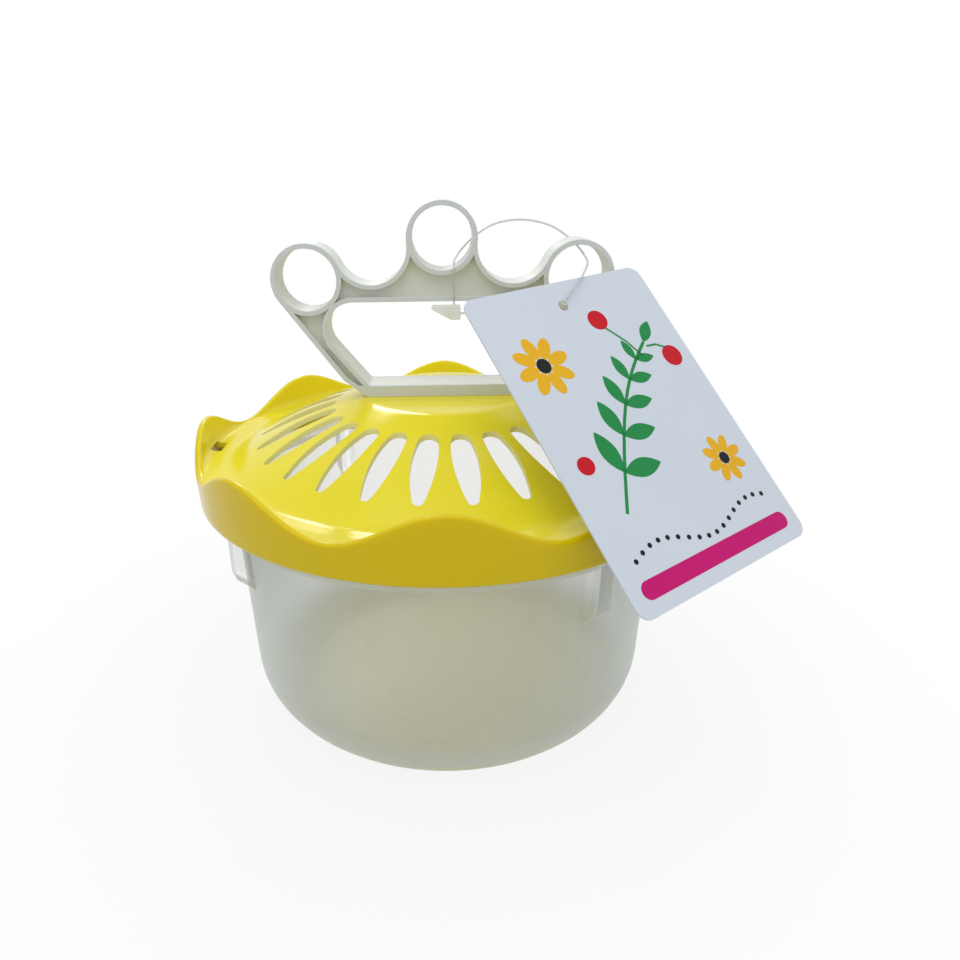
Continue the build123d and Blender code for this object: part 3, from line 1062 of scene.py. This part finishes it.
# %% [markdown]
# ## The card and its print
#
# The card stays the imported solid, because it is flat already and hangs on the thread. Its print could be a
# picture, but pictures need a file, and blur close up. So the print is a set of flat shapes, a few
# hundredths of a millimetre thick: a sprig, flowers, berries, a dotted trail and a strip. They are drawn
# flat, in millimetres from the card's middle, and then laid on its front. Where the front is, and which way
# its sides run, is measured from the card itself.

# %% Plane of the card
card_face = plastic("card_face", (0.64, 0.69, 0.75), (0.60, 0.65, 0.71), 0.45)
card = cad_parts["hang_tag"]
dress(card, card_face)
front_face = max((face for face in card.data.polygons if face.normal.z > 0), key=lambda face: face.area)
card_normal = card.matrix_world.to_3x3() @ front_face.normal
card_points = [card.matrix_world @ vertex.co for vertex in card.data.vertices]
edge_runs = [card_points[b] - card_points[a] for a, b in (edge.vertices for edge in card.data.edges)]
side_length = 20 * mm              # longer than any edge of a rounded corner


def reach_along(axis):
    """How far the card reaches along an axis: its lowest and highest places."""
    places = [point.dot(axis) for point in card_points]
    return min(places), max(places)


def span_along(axis):
    low, high = reach_along(axis)
    return high - low


def fit_area(side):
    """Area of the rectangle round the card that has one side along this direction."""
    return span_along(side) * span_along(side.cross(card_normal))


long_sides = [
    run.normalized() for run in edge_runs
    if run.length > side_length and abs(run.normalized().dot(card_normal)) < 0.01
]
card_side = min(long_sides, key=fit_area)
card_up = max((card_side, card_side.cross(card_normal)), key=span_along)
if card_up.z < 0:
    card_up = -card_up
card_across = card_up.cross(card_normal).normalized()
card_middle = card_normal * max(point.dot(card_normal) for point in card_points)
for axis in (card_across, card_up):
    card_middle += axis * sum(reach_along(axis)) / 2
print("card middle in mm:", [round(c / mm, 2) for c in card_middle], "up", [round(c, 3) for c in card_up])


# %% Flat shapes to print
def turned(x, y, along, aside, degrees):
    """A point near (x, y), given along and aside of a direction in degrees."""
    c, s = math.cos(math.radians(degrees)), math.sin(math.radians(degrees))
    return x + along * c - aside * s, y + along * s + aside * c


def oval(x, y, length, width, turn=0.0, points=28):
    """An oval about (x, y), its long axis turned from the level in degrees."""
    outline = []
    for i in range(points):
        a = 2 * math.pi * i / points
        outline.append(turned(x, y, length / 2 * math.cos(a), width / 2 * math.sin(a), turn))
    return outline


def leaf(x, y, length, width, turn):
    """A pointed leaf that starts at (x, y)."""
    steps = 14
    outline = []
    for i in range(2 * steps):
        share = i / steps if i <= steps else 2 - i / steps
        side = 1 if i <= steps else -1
        belly = math.sin(math.pi * share) ** 0.85
        outline.append(turned(x, y, length * share, side * width / 2 * belly, turn))
    return outline


def stroke(points, width):
    """A line of even width along some points."""
    left = []
    right = []
    for i, (x, y) in enumerate(points):
        ahead = Vector(points[min(i + 1, len(points) - 1)])
        behind = Vector(points[max(i - 1, 0)])
        run = (ahead - behind).normalized()
        left.append((x - run.y * width / 2, y + run.x * width / 2))
        right.append((x + run.y * width / 2, y - run.x * width / 2))
    return left + right[::-1]


def daisy(x, y, radius):
    """The eight petals of a flower about (x, y)."""
    petals = []
    for i in range(8):
        turn = 45 * i + 12
        petal_x, petal_y = turned(x, y, 0.62 * radius, 0, turn)
        petals.append(oval(petal_x, petal_y, 0.76 * radius, 0.42 * radius, turn, 18))
    return petals


# %% Lay shapes on the card
def printed(name, shapes, colour):
    """Print shapes on the card's front in one ink."""
    ink_depth = 0.04 * mm
    mesh = bpy.data.meshes.new(name)
    points = []
    faces = []
    for shape in shapes:
        faces.append(list(range(len(points), len(points) + len(shape))))
        points += [(u * mm, v * mm, 0) for u, v in shape]
    mesh.from_pydata(points, [], faces)
    piece = bpy.data.objects.new(name, mesh)
    bpy.context.scene.collection.objects.link(piece)
    pick(piece)
    bpy.ops.object.mode_set(mode="EDIT")
    bpy.ops.mesh.select_all(action="SELECT")
    bpy.ops.mesh.normals_make_consistent(inside=False)
    bpy.ops.object.mode_set(mode="OBJECT")
    for face in mesh.polygons:
        if face.normal.z < 0:
            face.flip()
    layer = piece.modifiers.new("ink", "SOLIDIFY")
    layer.thickness = ink_depth
    layer.offset = 1
    apply_modifiers(piece)
    turn = Matrix((card_across, card_up, card_normal)).transposed().to_4x4()
    piece.matrix_world = Matrix.Translation(card_middle) @ turn
    settle(piece)
    deeper = tuple(0.85 * c for c in colour)
    dress(piece, plastic(name.replace("print_", "") + "_ink", colour, deeper, 0.45, specular=0.12))
    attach(piece, "tag")


# %% [markdown]
# The card is printed as in a press, one ink after another: all that is green is one piece, all that is
# yellow is the next. Shapes in one ink may overlap, as the leaves do where they leave their stem, and it
# doesn't show. Every place is in millimetres from the card's middle.

# %% The sprig
stem_lean = 48
leaf_spread = 52
stem = []
for i in range(13):
    share = i / 12
    stem.append((-19 + 36 * share, -20 + 40 * share + 5 * math.sin(math.pi * share)))
greenery = [stroke(stem, 0.9)]
for i in range(2, 12, 2):
    x, y = stem[i]
    length = 13.5 - 0.7 * i
    greenery.append(leaf(x, y, length, 0.42 * length, stem_lean + leaf_spread))
    greenery.append(leaf(x, y, length, 0.42 * length, stem_lean - leaf_spread))
greenery.append(leaf(*stem[-1], 8, 3.6, 44))
greenery.append(stroke([(17.2, 18.6), (20.6, 18.4), (23.4, 16.8)], 0.6))
greenery.append(stroke([(14.0, 16.4), (11.4, 21.6), (7.4, 26.8)], 0.6))
printed("print_green", greenery, (0.02, 0.27, 0.07))

# %% Flowers, berries, the trail and the strip
large_flower = (-18, 21)
small_flower = (19.5, -17)
petals = daisy(*large_flower, 8.6) + daisy(*small_flower, 6.8)
printed("print_yellow", petals, (0.86, 0.47, 0.02))

berries = [oval(24.0, 14.0, 6.6, 6.4), oval(6.5, 29.5, 6.2, 6.0), oval(-22.5, -6, 5.0, 4.8)]
printed("print_red", berries, (0.62, 0.01, 0.02))

dark_marks = [oval(*large_flower, 4.2, 4.2), oval(*small_flower, 3.3, 3.3)]
for i in range(17):
    dark_marks.append(oval(-24 + 3 * i, -30.5 + 2.2 * math.sin(0.55 * i), 1.3, 1.3, points=14))
printed("print_black", dark_marks, (0.012, 0.014, 0.016))

strip_half = 27.0
strip_low = -39.5
strip_high = -35.0
strip_middle = (strip_low + strip_high) / 2
strip_round = (strip_high - strip_low) / 2
strip = []
for side, first in ((1, -90), (-1, 90)):
    for i in range(13):
        end = side * (strip_half - strip_round)
        strip.append(turned(end, strip_middle, strip_round, 0, first + 15 * i))
printed("print_magenta", [strip], (0.60, 0.008, 0.17))
